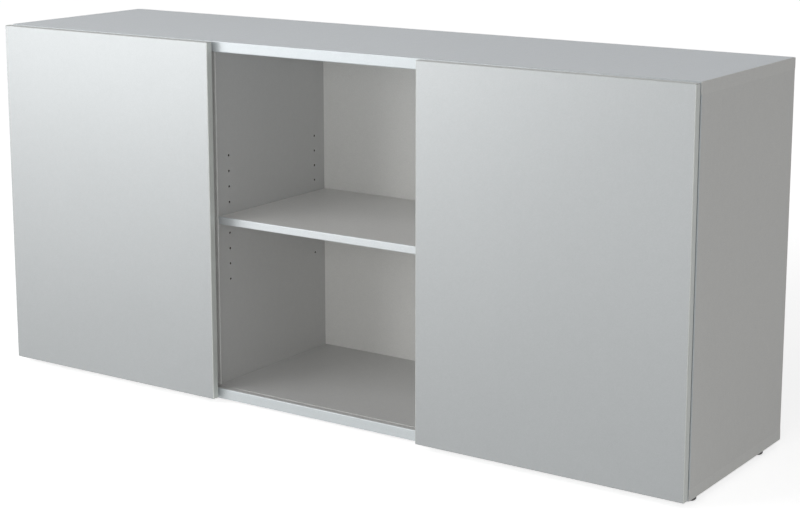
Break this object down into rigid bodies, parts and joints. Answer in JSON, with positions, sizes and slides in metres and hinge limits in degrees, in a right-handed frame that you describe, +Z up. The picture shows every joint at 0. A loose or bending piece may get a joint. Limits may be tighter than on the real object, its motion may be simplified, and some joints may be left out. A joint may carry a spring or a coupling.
{
  "type": "sliding door cabinet",
  "caption": "Low silver-grey sideboard: open middle bay with a shelf, and plain doors in one plane that slide over it from the two outer bays.",
  "frame": {"origin": "on the floor, under the middle of the whole cabinet (width and depth, doors included)", "axes": "+X along the width to the right as seen from the front, +Y to the back, +Z up; the doors face -Y"},
  "size_m": [1.6, 0.42, 0.74],
  "materials": {
    "silver_board": "melamine faced board, satin silver grey",
    "grey_board": "melamine faced board, satin light grey",
    "back_board": "thin faced board, matt light grey",
    "door_board": "aluminium effect faced board, satin with a fine metallic grain",
    "rail_aluminium": "satin anodised",
    "zinc": "zinc plated sheet",
    "steel": "plain turned steel",
    "white_nylon": "natural nylon",
    "grey_plastic": "moulded grey plastic",
    "black_plastic": "moulded black plastic"
  },
  "bodies": {
    "carcase": {"top_panel": "silver_board", "bottom_panel": "silver_board", "left_side_panel": "silver_board", "right_side_panel": "silver_board", "left_divider": "grey_board", "right_divider": "grey_board", "left_back_panel": "back_board", "middle_back_panel": "back_board", "right_back_panel": "back_board", "left_shelf": "grey_board", "middle_shelf": "grey_board", "right_shelf": "grey_board", "left_shelf_bolt_1": "steel", "left_shelf_bolt_2": "steel", "left_shelf_bolt_3": "steel", "left_shelf_bolt_4": "steel", "middle_shelf_bolt_1": "steel", "middle_shelf_bolt_2": "steel", "middle_shelf_bolt_3": "steel", "middle_shelf_bolt_4": "steel", "right_shelf_bolt_1": "steel", "right_shelf_bolt_2": "steel", "right_shelf_bolt_3": "steel", "right_shelf_bolt_4": "steel", "lower_rail": "rail_aluminium", "upper_rail": "rail_aluminium", "left_end_stop": "black_plastic", "right_end_stop": "black_plastic"},
    "left_door_body": {"left_door": "door_board", "left_outer_roller_bracket": "zinc", "left_inner_roller_bracket": "zinc", "left_outer_roller_axle": "steel", "left_inner_roller_axle": "steel", "left_outer_guide_housing": "grey_plastic", "left_inner_guide_housing": "grey_plastic"},
    "right_door_body": {"right_door": "door_board", "right_inner_roller_bracket": "zinc", "right_outer_roller_bracket": "zinc", "right_inner_roller_axle": "steel", "right_outer_roller_axle": "steel", "right_inner_guide_housing": "grey_plastic", "right_outer_guide_housing": "grey_plastic"},
    "left_outer_roller_body": {"left_outer_roller": "white_nylon"},
    "left_inner_roller_body": {"left_inner_roller": "white_nylon"},
    "right_inner_roller_body": {"right_inner_roller": "white_nylon"},
    "right_outer_roller_body": {"right_outer_roller": "white_nylon"},
    "left_outer_guide_pin_body": {"left_outer_guide_pin": "white_nylon"},
    "left_inner_guide_pin_body": {"left_inner_guide_pin": "white_nylon"},
    "right_inner_guide_pin_body": {"right_inner_guide_pin": "white_nylon"},
    "right_outer_guide_pin_body": {"right_outer_guide_pin": "white_nylon"},
    "left_end_front_foot_body": {"left_end_front_foot": "black_plastic"},
    "left_end_rear_foot_body": {"left_end_rear_foot": "black_plastic"},
    "left_divider_front_foot_body": {"left_divider_front_foot": "black_plastic"},
    "left_divider_rear_foot_body": {"left_divider_rear_foot": "black_plastic"},
    "right_divider_front_foot_body": {"right_divider_front_foot": "black_plastic"},
    "right_divider_rear_foot_body": {"right_divider_rear_foot": "black_plastic"},
    "right_end_front_foot_body": {"right_end_front_foot": "black_plastic"},
    "right_end_rear_foot_body": {"right_end_rear_foot": "black_plastic"}
  },
  "joints": [
    {"name": "left_door_slide", "type": "slide", "parent": "carcase", "child": "left_door_body", "axis": [1, 0, 0], "range_m": [0, 0.488]},
    {"name": "right_door_slide", "type": "slide", "parent": "carcase", "child": "right_door_body", "axis": [1, 0, 0], "range_m": [-0.488, 0]},
    {"name": "left_outer_roller_spin", "type": "hinge", "parent": "left_door_body", "child": "left_outer_roller_body", "pos_m": [-0.74, -0.1755, 0.0358], "axis": [0, 1, 0], "range_deg": [0, 2545]},
    {"name": "left_inner_roller_spin", "type": "hinge", "parent": "left_door_body", "child": "left_inner_roller_body", "pos_m": [-0.305, -0.1755, 0.0358], "axis": [0, 1, 0], "range_deg": [0, 2545]},
    {"name": "right_inner_roller_spin", "type": "hinge", "parent": "right_door_body", "child": "right_inner_roller_body", "pos_m": [0.305, -0.1755, 0.0358], "axis": [0, 1, 0], "range_deg": [-2545, 0]},
    {"name": "right_outer_roller_spin", "type": "hinge", "parent": "right_door_body", "child": "right_outer_roller_body", "pos_m": [0.74, -0.1755, 0.0358], "axis": [0, 1, 0], "range_deg": [-2545, 0]},
    {"name": "left_outer_guide_pin_press", "type": "slide", "parent": "left_door_body", "child": "left_outer_guide_pin_body", "axis": [0, 0, 1], "range_m": [-0.008, 0], "stiffness_N_per_m": 150, "springref_m": 0.01},
    {"name": "left_inner_guide_pin_press", "type": "slide", "parent": "left_door_body", "child": "left_inner_guide_pin_body", "axis": [0, 0, 1], "range_m": [-0.008, 0], "stiffness_N_per_m": 150, "springref_m": 0.01},
    {"name": "right_inner_guide_pin_press", "type": "slide", "parent": "right_door_body", "child": "right_inner_guide_pin_body", "axis": [0, 0, 1], "range_m": [-0.008, 0], "stiffness_N_per_m": 150, "springref_m": 0.01},
    {"name": "right_outer_guide_pin_press", "type": "slide", "parent": "right_door_body", "child": "right_outer_guide_pin_body", "axis": [0, 0, 1], "range_m": [-0.008, 0], "stiffness_N_per_m": 150, "springref_m": 0.01},
    {"name": "left_end_front_foot_turn", "type": "hinge", "parent": "carcase", "child": "left_end_front_foot_body", "pos_m": [-0.783, -0.152, 0], "axis": [0, 0, 1], "continuous": true},
    {"name": "left_end_rear_foot_turn", "type": "hinge", "parent": "carcase", "child": "left_end_rear_foot_body", "pos_m": [-0.783, 0.136, 0], "axis": [0, 0, 1], "continuous": true},
    {"name": "left_divider_front_foot_turn", "type": "hinge", "parent": "carcase", "child": "left_divider_front_foot_body", "pos_m": [-0.27, -0.152, 0], "axis": [0, 0, 1], "continuous": true},
    {"name": "left_divider_rear_foot_turn", "type": "hinge", "parent": "carcase", "child": "left_divider_rear_foot_body", "pos_m": [-0.27, 0.136, 0], "axis": [0, 0, 1], "continuous": true},
    {"name": "right_divider_front_foot_turn", "type": "hinge", "parent": "carcase", "child": "right_divider_front_foot_body", "pos_m": [0.27, -0.152, 0], "axis": [0, 0, 1], "continuous": true},
    {"name": "right_divider_rear_foot_turn", "type": "hinge", "parent": "carcase", "child": "right_divider_rear_foot_body", "pos_m": [0.27, 0.136, 0], "axis": [0, 0, 1], "continuous": true},
    {"name": "right_end_front_foot_turn", "type": "hinge", "parent": "carcase", "child": "right_end_front_foot_body", "pos_m": [0.783, -0.152, 0], "axis": [0, 0, 1], "continuous": true},
    {"name": "right_end_rear_foot_turn", "type": "hinge", "parent": "carcase", "child": "right_end_rear_foot_body", "pos_m": [0.783, 0.136, 0], "axis": [0, 0, 1], "continuous": true}
  ],
  "couplings": [
    {"joint": "left_outer_roller_spin", "follows": "left_door_slide", "rad_per_m": 90.909},
    {"joint": "left_inner_roller_spin", "follows": "left_door_slide", "rad_per_m": 90.909},
    {"joint": "right_inner_roller_spin", "follows": "right_door_slide", "rad_per_m": 90.909},
    {"joint": "right_outer_roller_spin", "follows": "right_door_slide", "rad_per_m": 90.909}
  ]
}
